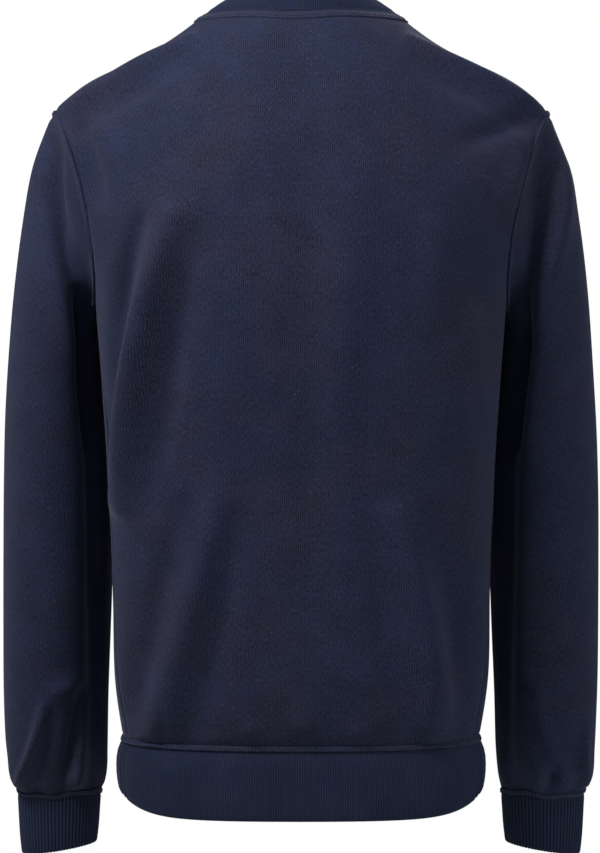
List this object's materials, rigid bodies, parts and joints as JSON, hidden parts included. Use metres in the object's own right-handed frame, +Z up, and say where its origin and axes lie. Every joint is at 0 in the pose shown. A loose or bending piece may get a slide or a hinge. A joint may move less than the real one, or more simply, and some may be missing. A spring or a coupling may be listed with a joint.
{
  "type": "crewneck sweatshirt",
  "caption": "Long-sleeved crewneck sweatshirt in navy fleece-backed jersey, in its worn shape, with a rib neckband, hem band and cuffs.",
  "frame": {"origin": "midway between the two neck points, at the height and depth of the shoulder seams, where the wearer's shoulders hold the garment up", "axes": "+Z up along the wearer's spine, +Y towards the back of the garment, +X towards its left sleeve"},
  "size_m": [0.5222, 0.266, 0.7494],
  "materials": {
    "jersey": "soft matt jersey face with fine wales and a slight bloom",
    "rib": "matt fine rib, folded double"
  },
  "bodies": {
    "root": {"back_panel": "jersey", "front_panel": "jersey", "sleeve_left": "jersey", "sleeve_right": "jersey", "neckband": "rib", "hem_band_back": "rib", "hem_band_front": "rib", "cuff_left": "rib", "cuff_right": "rib"}
  },
  "joints": []
}
